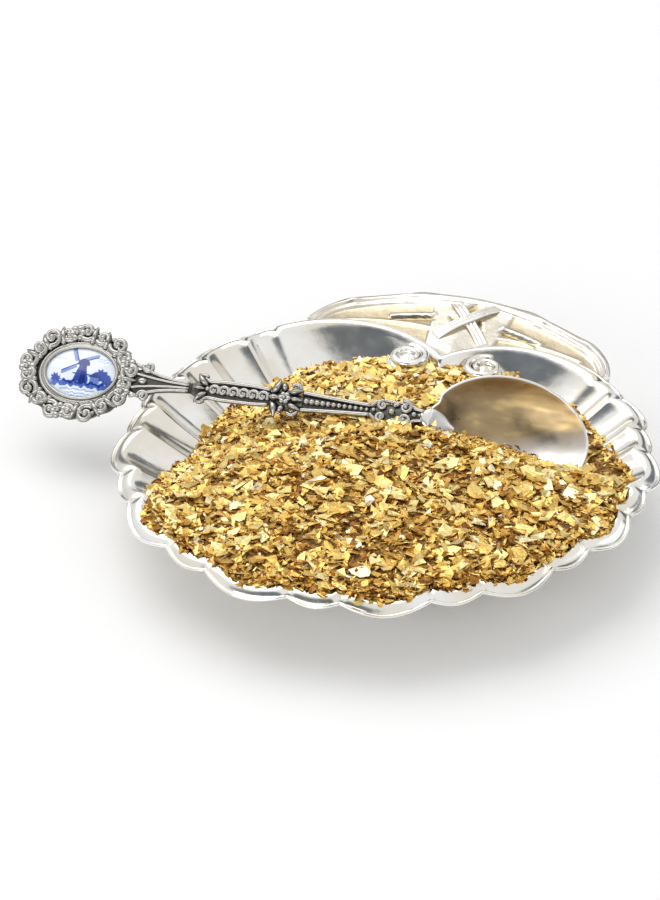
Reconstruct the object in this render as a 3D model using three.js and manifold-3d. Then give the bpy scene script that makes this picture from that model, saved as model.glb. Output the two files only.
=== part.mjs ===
// A fluted silver shell dish heaped with gold flakes, with a souvenir spoon standing in the heap.
// Millimetres, +Z up. The dish stands on Z = 0 about the origin, its handle toward +Y.
import * as THREE from 'three';
import { ConvexHull } from 'three/addons/math/ConvexHull.js';
import Module from 'manifold-3d';

const wasm = await Module();
wasm.setup();

const GAP = 0.3;

// Dish: a flat floor, a fluted wall that steepens outward, and a rolled lip. The front half is
// a little fuller on the left.
const FLOOR_RADIUS = 24;
const SHEET = 1.5;
const RIM_RADIUS = 62.7;
const FRONT_SKEW = 2.4;
const RIM_HEIGHT = 20.3;
const WALL_POWER = 1.5;
const LIP_WIDTH = 3.5;
const LIP_DROP = 1.5;
const BIG_BULGE = 2.6;
const SMALL_BULGE = 1.15;
const FLUTE_DEPTH = 1.5;

// Back of the dish: two plain lobes meeting in a notch, a little to the right of the Y axis.
const LOBE_ANGLE = 44.5;
const NOTCH_RADIUS = 44.5;
const NOTCH_ANGLE = 3;
const LOBE_POWER = 1.3;
const LOBE_RISE = 2.2;

// Flutes on each side, small and big in turn, widening toward the front (degrees).
const FLUTE_PAIRS = 5;
const SMALL_WIDTH = 8.4;
const SMALL_GROWTH = 0.8;
const BIG_WIDTH = 13;
const BIG_GROWTH = 1.5;

// Handle: a crescent plate soldered behind the lobes.
const HANDLE_RADIUS = 71.5;
const HANDLE_TURN = 4;
const HANDLE_SHOULDER = 28;
const HANDLE_END = 38;
const HANDLE_FALL = 5;
const HANDLE_INNER_HEIGHT = 17.2;
const HANDLE_END_HEIGHT = 17.6;
const HANDLE_RISE = 3.6;
const HANDLE_THICK = 1.6;
const BORDER_WIDTH = 2.2;
const BORDER_HEIGHT = 1.1;

// Flake heap: how far up the wall it reaches by angle, as [degrees, fraction of the wall].
const HEAP_PEAK = 24;
const HEAP_POWER = 1.6;
const HEAP_BED = 0.55;
const HEAP_EDGE = 0.45;
const HEAP_REACH = [[-180, 1], [-138, 1], [-94, 0.65], [-60, 0.66], [-35, 0.7], [3, 0.88],
  [35, 0.78], [60, 0.78], [90, 0.94], [104, 1], [180, 1]];
const HOLLOW = { x: 45, y: 15, depth: 4.5, spread: 9 };

// Spoon, along its own x axis from the neck at 0: bowl toward +x, finial toward -x, face up +z.
const NECK = new THREE.Vector3(7.7, 7, 25);
const SPOON_HEADING = -0.1;
const SPOON_CLIMB = 2.4;
const SPOON_ROLL = 36;
const BOWL_BEND = 15;
const BOWL_LENGTH = 40;
const BOWL_WIDTH = 31;
const BOWL_DEPTH = 6.5;
const BOWL_SHEET = 0.9;
const FINIAL_X = -89.5;
const FRAME_LENGTH = 33;
const FRAME_SHIFT = -1;
const FRAME_WIDTH = 27.6;
const FRAME_THICK = 2.4;
const STONE_LENGTH = 18.6;
const STONE_WIDTH = 13.4;
const STONE_EDGE = 1.2;
const STONE_DOME = 1.6;
const BEZEL_WALL = 0.9;
const BEZEL_HEIGHT = 2;
const SPOON_LIFT_CLEAR = 60;

// Stem sections as [x, half width, half thickness] stations, running toward the bowl.
const SHOULDER_STATIONS = [[-73.7, 3.8, 0.9], [-73, 5.2, 1.2], [-71.7, 5, 1.2], [-70.2, 3, 1.1],
  [-66, 2.1, 1.1], [-60.7, 1.6, 1]];
const SCROLL_STATIONS = [[-60.4, 1.6, 1], [-58, 3.5, 1.2], [-56.3, 3.3, 1.2], [-55, 2.2, 1.1],
  [-52, 2.6, 1.2], [-44, 2.5, 1.2], [-39.9, 2.2, 1.1]];
const KNOP_STATIONS = [[-39.6, 2.2, 1.1], [-38.4, 3.6, 1.5], [-36.2, 4.1, 1.9], [-34.2, 4, 1.8],
  [-32.6, 3, 1.4], [-31.8, 2.4, 1.2]];
const BEADED_STATIONS = [[-31.5, 2.4, 1.2], [-28, 2.2, 1.2], [-20, 1.7, 1.15], [-14.4, 1.4, 1.1]];
const HEEL_STATIONS = [[-14.1, 1.5, 1.1], [-12, 2.7, 1.4], [-8.5, 3.2, 1.6], [-5, 3, 1.5],
  [-2.6, 1.8, 1.1], [-0.5, 1.7, 0.8]];

const radians = THREE.MathUtils.degToRad;

const silver = () => new THREE.MeshStandardMaterial({ color: 0xd8d8d2, metalness: 1, roughness: 0.2 });
const oldSilver = () => new THREE.MeshStandardMaterial({ color: 0x8f9090, metalness: 1, roughness: 0.35 });
const porcelain = () => new THREE.MeshStandardMaterial({ color: 0xe9eef6, metalness: 0, roughness: 0.1 });
const gold = () => new THREE.MeshStandardMaterial({ color: 0xc79a3c, metalness: 1, roughness: 0.4 });

// Wraps triangles over positions as a closed body facing out.
function closedGeometry(points, triangles) {
  let volume = 0;
  const a = new THREE.Vector3();
  const b = new THREE.Vector3();
  const c = new THREE.Vector3();
  for (const [i, j, k] of triangles) {
    a.fromArray(points[i]);
    b.fromArray(points[j]);
    c.fromArray(points[k]);
    volume += a.dot(b.cross(c));
  }
  const index = triangles.flatMap(([i, j, k]) => (volume < 0 ? [i, k, j] : [i, j, k]));
  const geometry = new THREE.BufferGeometry();
  geometry.setAttribute('position', new THREE.Float32BufferAttribute(points.flat(), 3));
  geometry.setIndex(index);
  geometry.computeVertexNormals();
  return geometry;
}

// Skins a run of rings of equal count; a ring of one point closes the end it stands at.
function loft(rings) {
  const points = rings.flat();
  const triangles = [];
  let start = 0;
  for (let r = 0; r + 1 < rings.length; r++) {
    const here = rings[r].length;
    const next = rings[r + 1].length;
    const count = Math.max(here, next);
    for (let i = 0; i < count; i++) {
      const j = (i + 1) % count;
      const a = start + (here === 1 ? 0 : i);
      const b = start + (here === 1 ? 0 : j);
      const c = start + here + (next === 1 ? 0 : i);
      const d = start + here + (next === 1 ? 0 : j);
      if (here > 1) triangles.push([a, b, d]);
      if (next > 1) triangles.push([a, d, c]);
    }
    start += here;
  }
  return closedGeometry(points, triangles);
}

const middle = (ring) => [0, 1, 2].map((axis) => ring.reduce((sum, p) => sum + p[axis], 0) / ring.length);

// A run of cross-sections closed by a flat fan at each end.
function bar(sections) {
  return loft([[middle(sections[0])], ...sections, [middle(sections.at(-1))]]);
}

// Edges of the flutes on one side, in degrees from the back, ending half way across the front one.
function fluteEdges() {
  const edges = [LOBE_ANGLE];
  for (let i = 0; i < FLUTE_PAIRS; i++) {
    edges.push(edges.at(-1) + SMALL_WIDTH + SMALL_GROWTH * i);
    edges.push(edges.at(-1) + BIG_WIDTH + BIG_GROWTH * i);
  }
  edges.push(360 - edges.at(-1));
  return edges;
}

const EDGES = fluteEdges();

// Angles, in degrees, of the spokes that all the dish's surfaces share.
function spokes() {
  const steps = (from, to, count) => Array.from({ length: count }, (_, i) => from + ((to - from) * i) / count);
  const fluted = [];
  for (let i = 0; i + 2 < EDGES.length; i++) fluted.push(...steps(EDGES[i], EDGES[i + 1], i % 2 ? 7 : 4));
  fluted.push(...steps(EDGES.at(-2), 180, 2));
  const mirrored = fluted.slice().reverse().map((angle) => -angle);
  const lobes = [...steps(-LOBE_ANGLE, NOTCH_ANGLE, 11).slice(1), ...steps(NOTCH_ANGLE, LOBE_ANGLE, 11)];
  return [...mirrored, ...lobes, ...fluted, 180];
}

const SPOKES = spokes();

// Where an angle falls: the bulge of its flute and its place across it, or its place in a lobe.
function placeAt(angle) {
  const side = Math.abs(angle);
  const lobeWidth = LOBE_ANGLE - Math.sign(angle - NOTCH_ANGLE) * NOTCH_ANGLE;
  if (side < LOBE_ANGLE) return { lobe: Math.abs(angle - NOTCH_ANGLE) / lobeWidth, swell: 0, bulge: 0 };
  let i = 0;
  while (i + 2 < EDGES.length && side > EDGES[i + 1]) i++;
  const across = (side - EDGES[i]) / (EDGES[i + 1] - EDGES[i]);
  return { lobe: 1, swell: Math.sin(Math.PI * Math.min(across, 1)), bulge: i % 2 ? BIG_BULGE : SMALL_BULGE };
}

function lipRadius(angle) {
  const place = placeAt(angle);
  const inset = (RIM_RADIUS - NOTCH_RADIUS) * (1 - place.lobe) ** LOBE_POWER;
  const skew = Math.abs(angle) > 90 ? FRONT_SKEW * Math.sin(radians(2 * angle)) : 0;
  return RIM_RADIUS - inset + skew + place.bulge * place.swell ** 0.8;
}

const crestRadius = (angle) => lipRadius(angle) - LIP_WIDTH;

function crestHeight(angle) {
  const place = placeAt(angle);
  return RIM_HEIGHT + LOBE_RISE * Math.max(0, Math.sin(Math.PI * place.lobe)) ** 0.8;
}

const radiusAt = (angle, climb) => FLOOR_RADIUS + (crestRadius(angle) - FLOOR_RADIUS) * climb;

// Height of the dish's upper face, climb running 0 at the floor's edge to 1 at the crest.
function wallHeight(angle, climb) {
  if (climb <= 0) return SHEET;
  const place = placeAt(angle);
  const depth = FLUTE_DEPTH * (place.bulge / BIG_BULGE) ** 0.5 * place.swell ** 2 * climb ** 0.6;
  return SHEET + (crestHeight(angle) - SHEET) * climb ** WALL_POWER - depth;
}

function polar(angle, radius, height) {
  return [radius * Math.sin(radians(angle)), radius * Math.cos(radians(angle)), height];
}

function shellBowl() {
  const climbs = [0, 0.2, 0.4, 0.6, 0.8, 1];
  const upper = climbs.map((c) => SPOKES.map((a) => polar(a, radiusAt(a, c), wallHeight(a, c))));
  const lip = [[1.6, 0.35, 0], [0, LIP_DROP, 0], [0.5, LIP_DROP + 0.9, 0], [2.4, 1.9, 0]].map(([inset, drop]) =>
    SPOKES.map((a) => polar(a, lipRadius(a) - inset, wallHeight(a, 1) - drop)));
  const under = [1, 0.75, 0.5, 0.25, 0].map((c) =>
    SPOKES.map((a) => polar(a, radiusAt(a, c), wallHeight(a, c) - SHEET)));
  return loft([[[0, 0, SHEET]], ...upper, ...lip, ...under, [[0, 0, 0]]]);
}

// A round wire laid round the lip from one lobe to the other.
function rimWire() {
  const radius = 0.5;
  const sides = 6;
  const path = [];
  for (let angle = LOBE_ANGLE + 1; angle <= 360 - LOBE_ANGLE - 1; angle += 2.5) {
    path.push(angle > 180 ? angle - 360 : angle);
  }
  return bar(path.map((angle) => {
    const out = lipRadius(angle) + GAP + radius + 0.15;
    const height = wallHeight(angle, 1) - LIP_DROP - 0.4;
    return Array.from({ length: sides }, (_, i) => {
      const turn = (2 * Math.PI * i) / sides;
      return polar(angle, out + radius * Math.cos(turn), height + radius * Math.sin(turn));
    });
  }));
}

// Angle from the handle's own middle.
const fromHandle = (angle) => Math.abs(angle - HANDLE_TURN);

function handleRadius(angle) {
  const fall = Math.max(0, fromHandle(angle) - HANDLE_SHOULDER) / (HANDLE_END - HANDLE_SHOULDER);
  return HANDLE_RADIUS - HANDLE_FALL * fall ** 2;
}

const handleInner = (angle) => lipRadius(angle) + 0.5;

// Height of the handle's upper face at a radius.
function handleHeight(angle, radius) {
  const outer = HANDLE_END_HEIGHT + HANDLE_RISE * Math.cos(radians((fromHandle(angle) * 85) / HANDLE_END)) ** 1.5;
  const across = (radius - handleInner(angle)) / (handleRadius(angle) - handleInner(angle));
  return HANDLE_INNER_HEIGHT + (outer - HANDLE_INNER_HEIGHT) * across;
}

function handlePlate() {
  const sections = [];
  for (let angle = HANDLE_TURN - HANDLE_END; angle <= HANDLE_TURN + HANDLE_END; angle += 4) {
    const inner = handleInner(angle);
    const outer = handleRadius(angle);
    const top = (radius) => polar(angle, radius, handleHeight(angle, radius));
    const under = (radius) => polar(angle, radius, handleHeight(angle, radius) - HANDLE_THICK);
    sections.push([under(inner), under(outer), top(outer), top((inner + outer) / 2), top(inner)]);
  }
  return bar(sections);
}

// A raised strip following the handle's outer edge on one side.
function handleBorder(side) {
  const sections = [];
  for (let away = 8; away <= HANDLE_END - 2; away += 3) {
    const angle = HANDLE_TURN + side * away;
    const outer = handleRadius(angle) - 0.7;
    const inner = outer - BORDER_WIDTH;
    const at = (radius, lift) => polar(angle, radius, handleHeight(angle, radius) + GAP + 0.05 + lift);
    sections.push([at(inner, 0), at(outer, 0), at(outer, BORDER_HEIGHT * 0.7), at((inner + outer) / 2, BORDER_HEIGHT),
      at(inner, BORDER_HEIGHT * 0.7)]);
  }
  return bar(sections);
}

// One of the two ribbons that cross on the handle's centre; the right one bridges over the left.
function handleRibbon(side) {
  const halfWidth = 1.4;
  const thick = 1;
  const bridge = side > 0 ? thick + GAP : 0;
  const sections = [];
  for (let i = 0; i <= 12; i++) {
    const along = i / 12;
    const x = side * 6.5 * (2 * along - 1);
    const y = 54.5 + 14.5 * along;
    const centre = new THREE.Vector2(x, y);
    const across = new THREE.Vector2(14.5, -side * 13).normalize().multiplyScalar(halfWidth);
    const lift = GAP + 0.25 + bridge * Math.max(0, Math.sin(Math.PI * along)) ** 0.4;
    const corner = (sign, rise) => {
      const p = centre.clone().addScaledVector(across, sign).rotateAround(new THREE.Vector2(), -radians(HANDLE_TURN));
      const angle = THREE.MathUtils.radToDeg(Math.atan2(p.x, p.y));
      return [p.x, p.y, handleHeight(angle, p.length()) + lift + rise];
    };
    sections.push([corner(-1, 0), corner(1, 0), corner(1, thick), corner(-1, thick)]);
  }
  return bar(sections);
}

// A short reeded bar beside the ribbons.
function handleReed(side) {
  const sections = [];
  for (let away = 9; away <= 17; away += 2) {
    const angle = HANDLE_TURN + side * away;
    const at = (radius, lift) => polar(angle, radius, handleHeight(angle, radius) + GAP + 0.05 + lift);
    sections.push([at(61.5, 0), at(63.9, 0), at(63.9, 0.6), at(62.7, 1), at(61.5, 0.6)]);
  }
  return bar(sections);
}

// The lip of a lobe ends in a flat snail scroll beside the notch.
function volute(side) {
  const turns = 1.35;
  const steps = 30;
  const centre = new THREE.Vector3(4.2 + side * 10, 38.8, 21.4);
  const sections = [];
  for (let i = 0; i <= steps; i++) {
    const along = i / steps;
    const turn = radians(80) + 2 * Math.PI * turns * along;
    const spread = 4.4 - 3.1 * along;
    const thick = 1.05 - 0.35 * along;
    const outward = new THREE.Vector3(side * Math.cos(turn), Math.sin(turn), 0);
    sections.push(Array.from({ length: 6 }, (_, j) => {
      const around = (2 * Math.PI * j) / 6;
      return centre.clone().addScaledVector(outward, spread + thick * Math.cos(around))
        .add(new THREE.Vector3(0, 0, thick * Math.sin(around))).toArray();
    }));
  }
  return bar(sections);
}

// Fraction of the wall the heap covers at an angle, eased between the listed angles.
function heapReach(angle) {
  let i = 0;
  while (i + 2 < HEAP_REACH.length && angle > HEAP_REACH[i + 1][0]) i++;
  const [from, low] = HEAP_REACH[i];
  const [to, high] = HEAP_REACH[i + 1];
  return low + (high - low) * THREE.MathUtils.smoothstep(angle, from, to);
}

// Height of the heap's surface on a spoke, reach running 0 at the floor's edge to 1 at the heap's.
function heapHeight(angle, reach) {
  const climb = reach * heapReach(angle);
  const edge = radiusAt(angle, heapReach(angle));
  const radius = reach < 0 ? FLOOR_RADIUS * (1 + reach) : radiusAt(angle, climb);
  const [x, y] = polar(angle, radius, 0);
  const low = wallHeight(angle, heapReach(angle)) + HEAP_BED + HEAP_EDGE;
  const pile = low + (HEAP_PEAK - low) * (1 - (radius / edge) ** HEAP_POWER);
  const away = ((x - HOLLOW.x) ** 2 + (y - HOLLOW.y) ** 2) / (2 * HOLLOW.spread ** 2);
  const least = wallHeight(angle, climb) + HEAP_BED + HEAP_EDGE;
  return [x, y, Math.max(pile - HOLLOW.depth * Math.exp(-away), least)];
}

// The whole heap as if no spoon stood in it; its bed follows the dish.
function fullHeap() {
  const reaches = [-0.75, -0.5, -0.25, 0, 0.2, 0.4, 0.6, 0.8, 1];
  const upper = reaches.map((reach) => SPOKES.map((a) => heapHeight(a, reach)));
  const bed = [1, 0.8, 0.6, 0.4, 0.2, 0].map((reach) => SPOKES.map((a) => {
    const climb = reach * heapReach(a);
    return polar(a, radiusAt(a, climb), wallHeight(a, climb) + HEAP_BED);
  }));
  return loft([[[0, 0, HEAP_PEAK]], ...upper, ...bed, [[0, 0, SHEET + HEAP_BED]]]);
}

function toManifold(geometry) {
  return new wasm.Manifold(new wasm.Mesh({
    numProp: 3,
    vertProperties: Float32Array.from(geometry.getAttribute('position').array),
    triVerts: Uint32Array.from(geometry.getIndex().array),
  }));
}

function fromManifold(body) {
  const mesh = body.getMesh();
  const points = [];
  for (let i = 0; i < mesh.vertProperties.length; i += mesh.numProp) {
    points.push([...mesh.vertProperties.slice(i, i + 3)]);
  }
  const triangles = [];
  for (let i = 0; i < mesh.triVerts.length; i += 3) triangles.push([...mesh.triVerts.slice(i, i + 3)]);
  return closedGeometry(points, triangles);
}

// Everything straight above a convex cloud of points, up to the height a lift needs.
function columnOver(points) {
  const cloud = points.flatMap((p) => [p, p.clone().add(new THREE.Vector3(0, 0, SPOON_LIFT_CLEAR))]);
  const hull = new ConvexHull().setFromPoints(cloud);
  const order = new Map();
  const corners = [];
  const number = (vertex) => {
    if (!order.has(vertex)) {
      order.set(vertex, corners.length);
      corners.push(vertex.point.toArray());
    }
    return order.get(vertex);
  };
  const triangles = hull.faces.map((face) => {
    const first = face.edge;
    return [first, first.next, first.next.next].map((edge) => number(edge.head()));
  });
  return toManifold(closedGeometry(corners, triangles));
}

// Rings of the spoon's bowl below its rim plane, for a half length, half width and depth.
function bowlRings(halfLength, halfWidth, depth, steps) {
  const count = 36;
  const rings = [];
  for (let i = 1; i <= steps; i++) {
    const spread = i / steps;
    rings.push(Array.from({ length: count }, (_, j) => {
      const turn = (2 * Math.PI * j) / count;
      return [BOWL_LENGTH / 2 + halfLength * spread * Math.cos(turn), halfWidth * spread * Math.sin(turn),
        -depth * (1 - spread ** 2)];
    }));
  }
  return rings;
}

function spoonBowl() {
  const halfLength = BOWL_LENGTH / 2;
  const halfWidth = BOWL_WIDTH / 2;
  const inner = bowlRings(halfLength - BOWL_SHEET, halfWidth - BOWL_SHEET, BOWL_DEPTH, 6);
  const outer = bowlRings(halfLength, halfWidth, BOWL_DEPTH + BOWL_SHEET, 6).reverse();
  return loft([[[halfLength, 0, -BOWL_DEPTH]], ...inner, ...outer, [[halfLength, 0, -BOWL_DEPTH - BOWL_SHEET]]]);
}

// Rounded cross-sections along the stem, grown all round by a margin.
function stemSections(stations, margin = 0) {
  const sides = 10;
  return stations.map(([x, halfWidth, halfThick]) => Array.from({ length: sides }, (_, i) => {
    const turn = (2 * Math.PI * i) / sides;
    return [x, (halfWidth + margin) * Math.cos(turn), (halfThick + margin) * Math.sin(turn)];
  }));
}

const stem = (stations) => bar(stemSections(stations));

function ellipsePath(halfLength, halfWidth) {
  return new THREE.Path().absellipse(0, 0, halfLength, halfWidth, 0, 2 * Math.PI, false, 0);
}

// The pierced rococo frame: an oval plate with a scalloped edge and a ring of openings.
function finialFrame() {
  const scallops = 16;
  const outline = new THREE.Shape();
  const halfLength = FRAME_LENGTH / 2;
  const halfWidth = FRAME_WIDTH / 2;
  const steps = scallops * 5;
  for (let i = 0; i < steps; i++) {
    const turn = (2 * Math.PI * i) / steps;
    const dip = 1 - 0.09 * (1 - Math.abs(Math.sin((scallops * turn) / 2)));
    const x = FRAME_SHIFT + halfLength * dip * Math.cos(turn);
    const y = halfWidth * dip * Math.sin(turn);
    if (i === 0) outline.moveTo(x, y);
    else outline.lineTo(x, y);
  }
  outline.closePath();
  const seat = BEZEL_WALL + 2 * GAP;
  outline.holes.push(ellipsePath(STONE_LENGTH / 2 + seat, STONE_WIDTH / 2 + seat));
  const holes = 12;
  for (let i = 0; i < holes; i++) {
    const turn = (2 * Math.PI * (i + 0.5)) / holes;
    const x = FRAME_SHIFT + (halfLength - 2.4) * Math.cos(turn);
    const y = (halfWidth - 2.6) * Math.sin(turn);
    outline.holes.push(new THREE.Path().absarc(x, y, 0.75, 0, 2 * Math.PI, true));
  }
  const frame = new THREE.ExtrudeGeometry(outline, { depth: FRAME_THICK, bevelEnabled: false, curveSegments: 12 });
  return frame.translate(FINIAL_X, 0, -FRAME_THICK / 2);
}

function bezel() {
  const outline = new THREE.Shape();
  outline.absellipse(0, 0, STONE_LENGTH / 2 + GAP + BEZEL_WALL, STONE_WIDTH / 2 + GAP + BEZEL_WALL, 0, 2 * Math.PI);
  outline.holes.push(ellipsePath(STONE_LENGTH / 2 + GAP, STONE_WIDTH / 2 + GAP));
  const ring = new THREE.ExtrudeGeometry(outline, { depth: BEZEL_HEIGHT, bevelEnabled: false, curveSegments: 20 });
  return ring.translate(FINIAL_X, 0, 0);
}

// The oval porcelain: a short straight edge under a shallow dome.
function stone() {
  const ring = (spread, height) => Array.from({ length: 28 }, (_, i) => {
    const turn = (2 * Math.PI * i) / 28;
    return [FINIAL_X + (STONE_LENGTH / 2) * spread * Math.cos(turn), (STONE_WIDTH / 2) * spread * Math.sin(turn), height];
  });
  const dome = [1, 0.85, 0.6, 0.3].map((spread) => ring(spread, STONE_EDGE + STONE_DOME * (1 - spread ** 2)));
  return loft([[[FINIAL_X, 0, 0.1]], ring(1, 0.1), ...dome, [[FINIAL_X, 0, STONE_EDGE + STONE_DOME]]]);
}

// A thin oval plate that closes the frame behind the porcelain.
function backPlate() {
  const outline = new THREE.Shape();
  outline.absellipse(0, 0, STONE_LENGTH / 2 + BEZEL_WALL, STONE_WIDTH / 2 + BEZEL_WALL, 0, 2 * Math.PI);
  const plate = new THREE.ExtrudeGeometry(outline, { depth: 0.8, bevelEnabled: false, curveSegments: 16 });
  return plate.translate(FINIAL_X, 0, -1.05);
}

function piece(name, geometry, material) {
  const mesh = new THREE.Mesh(geometry, material);
  mesh.name = name;
  return mesh;
}

const spoon = new THREE.Group();
spoon.position.copy(NECK);
spoon.rotation.set(radians(SPOON_ROLL), -radians(SPOON_CLIMB), radians(SPOON_HEADING), 'ZYX');
const bowlSeat = new THREE.Group();
bowlSeat.rotation.y = radians(BOWL_BEND);
spoon.add(bowlSeat);
spoon.add(piece('heel_scroll', stem(HEEL_STATIONS), oldSilver()));
spoon.add(piece('stem_beaded', stem(BEADED_STATIONS), oldSilver()));
spoon.add(piece('stem_knop', stem(KNOP_STATIONS), oldSilver()));
spoon.add(piece('stem_scroll', stem(SCROLL_STATIONS), oldSilver()));
spoon.add(piece('stem_shoulder', stem(SHOULDER_STATIONS), oldSilver()));
spoon.add(piece('finial_frame', finialFrame(), oldSilver()));
spoon.add(piece('medallion_bezel', bezel(), oldSilver()));
spoon.add(piece('porcelain_medallion', stone(), porcelain()));
spoon.add(piece('medallion_back', backPlate(), oldSilver()));
bowlSeat.add(piece('spoon_bowl', spoonBowl(), silver()));
spoon.updateMatrixWorld(true);

const worldPoints = (rings, holder) =>
  rings.flat().map((p) => new THREE.Vector3(...p).applyMatrix4(holder.matrixWorld));

// The heap keeps clear of the bowl and stem and of everything above them, so the spoon lifts out.
function heapAroundSpoon(heap) {
  const clear = GAP + 0.05;
  const bowl = bowlRings(BOWL_LENGTH / 2 + clear, BOWL_WIDTH / 2 + clear, BOWL_DEPTH + BOWL_SHEET + 1.5 * clear, 6);
  const columns = [columnOver(worldPoints(bowl, bowlSeat))];
  for (const stations of [HEEL_STATIONS, BEADED_STATIONS]) {
    columns.push(columnOver(worldPoints(stemSections(stations, clear), spoon)));
  }
  return fromManifold(columns.reduce((left, column) => left.subtract(column), heap));
}

// The flakes lying in the spoon's bowl, their surface falling away toward the back and the tip.
function spoonful(heap) {
  const clear = 0.45;
  const inner = bowlRings(BOWL_LENGTH / 2 - BOWL_SHEET - clear, BOWL_WIDTH / 2 - BOWL_SHEET - clear,
    BOWL_DEPTH - clear, 6);
  const surface = (x, y) => NECK.z - 2.5 - 0.2 * (x - NECK.x) - 0.5 * (y - NECK.y);
  const reach = 60;
  const corners = [[-reach, -reach], [reach, -reach], [reach, reach], [-reach, reach]];
  const above = bar([corners.map(([x, y]) => [x, y, surface(x, y)]),
    corners.map(([x, y]) => [x, y, surface(x, y) + 2 * reach])]);
  return fromManifold(heap.intersect(columnOver(worldPoints(inner, bowlSeat))).subtract(toManifold(above)));
}

const heap = toManifold(fullHeap());

const group = new THREE.Group();
group.add(piece('shell_bowl', shellBowl(), silver()));
group.add(piece('rim_wire', rimWire(), silver()));
group.add(piece('handle_plate', handlePlate(), silver()));
for (const [name, side] of [['left', -1], ['right', 1]]) {
  group.add(piece(`handle_border_${name}`, handleBorder(side), silver()));
  group.add(piece(`handle_ribbon_${name}`, handleRibbon(side), silver()));
  group.add(piece(`handle_reed_${name}`, handleReed(side), silver()));
  group.add(piece(`volute_${name}`, volute(side), silver()));
}
group.add(piece('flake_heap', heapAroundSpoon(heap), gold()));
group.add(piece('spoonful', spoonful(heap), gold()));
group.add(spoon);

export default group;
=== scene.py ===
"""A fluted silver shell dish heaped with gold flakes, and a souvenir spoon standing in the heap."""
import random
from math import atan2, copysign, cos, degrees, exp, hypot, pi, radians, sin

import bmesh
import bpy
import numpy as np
from mathutils import Matrix, Vector
from mathutils.bvhtree import BVHTree


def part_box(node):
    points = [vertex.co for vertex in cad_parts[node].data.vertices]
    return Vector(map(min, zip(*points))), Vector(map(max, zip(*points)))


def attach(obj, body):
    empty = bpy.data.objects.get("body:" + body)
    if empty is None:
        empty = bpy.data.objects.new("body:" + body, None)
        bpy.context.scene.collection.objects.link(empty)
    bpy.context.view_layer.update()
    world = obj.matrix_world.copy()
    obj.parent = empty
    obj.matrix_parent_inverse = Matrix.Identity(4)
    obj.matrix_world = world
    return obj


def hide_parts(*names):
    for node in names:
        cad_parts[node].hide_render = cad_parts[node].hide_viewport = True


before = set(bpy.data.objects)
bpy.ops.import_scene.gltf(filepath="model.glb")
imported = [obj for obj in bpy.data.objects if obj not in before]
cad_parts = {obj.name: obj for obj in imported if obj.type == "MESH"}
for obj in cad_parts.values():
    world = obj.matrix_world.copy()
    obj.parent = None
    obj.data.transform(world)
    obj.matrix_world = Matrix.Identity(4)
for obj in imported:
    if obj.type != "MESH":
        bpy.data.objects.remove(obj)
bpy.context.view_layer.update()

MM = 0.001
SEED = 20
HEAP_FLAKES = 14500
EDGE_FLAKES = 1500
SPOON_FLAKES = 1100
SIDE_TRIES, POCKET_TRIES = 2500, 16000
HALF_FLAKE = 0.09
POCKET_GAP = 0.8
BELOW, ABOVE = -5, 80
TAU = 2 * pi

# The driving dimensions that part.mjs has too, in millimetres and degrees.
FLOOR_RADIUS = 24
SHEET = 1.5
RIM_RADIUS = 62.7
FRONT_SKEW = 2.4
RIM_HEIGHT = 20.3
WALL_POWER = 1.5
LIP_WIDTH = 3.5
LIP_DROP = 1.5
BIG_BULGE = 2.6
SMALL_BULGE = 1.15
FLUTE_DEPTH = 1.5
LOBE_ANGLE = 44.5
NOTCH_RADIUS = 44.5
NOTCH_ANGLE = 3
LOBE_POWER = 1.3
LOBE_RISE = 2.2
SMALL_WIDTH, SMALL_GROWTH = 8.4, 0.8
BIG_WIDTH, BIG_GROWTH = 13, 1.5
HANDLE_RADIUS = 71.5
HANDLE_TURN = 4
HANDLE_SHOULDER = 28
HANDLE_END = 38
HANDLE_FALL = 5
HANDLE_INNER_HEIGHT = 17.2
HANDLE_END_HEIGHT = 17.6
HANDLE_RISE = 3.6
HANDLE_THICK = 1.6
HEAP_PEAK = 24
HEAP_POWER = 1.6
HEAP_BED = 0.55
HEAP_EDGE = 0.45
HEAP_REACH = [(-180, 1), (-138, 1), (-94, 0.65), (-60, 0.66), (-35, 0.7), (3, 0.88),
              (35, 0.78), (60, 0.78), (90, 0.94), (104, 1), (180, 1)]
HEAP_X, HEAP_Y = (-64, 66), (-66, 46)
HOLLOW = (45, 15, 4.5, 9)
NECK = (7.7, 7, 25)
SPOON_HEADING, SPOON_CLIMB, SPOON_ROLL = -0.1, 2.4, 36
FILL_DROP, FILL_SLOPE_X, FILL_SLOPE_Y = 2.5, 0.2, 0.5
BOWL_BEND = 15
BOWL_LENGTH, BOWL_WIDTH, BOWL_DEPTH, BOWL_SHEET = 40, 31, 6.5, 0.9
FINIAL_X = -89.5
MIDDLE = (FINIAL_X, 0)
FRAME_LENGTH, FRAME_WIDTH, FRAME_SHIFT = 33, 27.6, -1
STONE_LENGTH, STONE_WIDTH, STONE_EDGE, STONE_DOME = 18.6, 13.4, 1.2, 1.6
PAINTING_SCALE = 1.22

# What only the finely modelled pieces have.
RIDGE_SHARPNESS = 1.35
LIP_DENT, LIP_PUFF = 0.75, 0.45
RIBBON_HALF_WIDTH, RIBBON_DEPTH = 1.6, 1.2
CORE_OVERLAP = 0.35
LEAF_STEPS = 8

SPOON = (Matrix.Translation(NECK)
         @ Matrix.Rotation(radians(SPOON_HEADING), 4, "Z")
         @ Matrix.Rotation(-radians(SPOON_CLIMB), 4, "Y")
         @ Matrix.Rotation(radians(SPOON_ROLL), 4, "X"))
BOWL = SPOON @ Matrix.Rotation(radians(BOWL_BEND), 4, "Y")


# ---- mesh building

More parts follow.
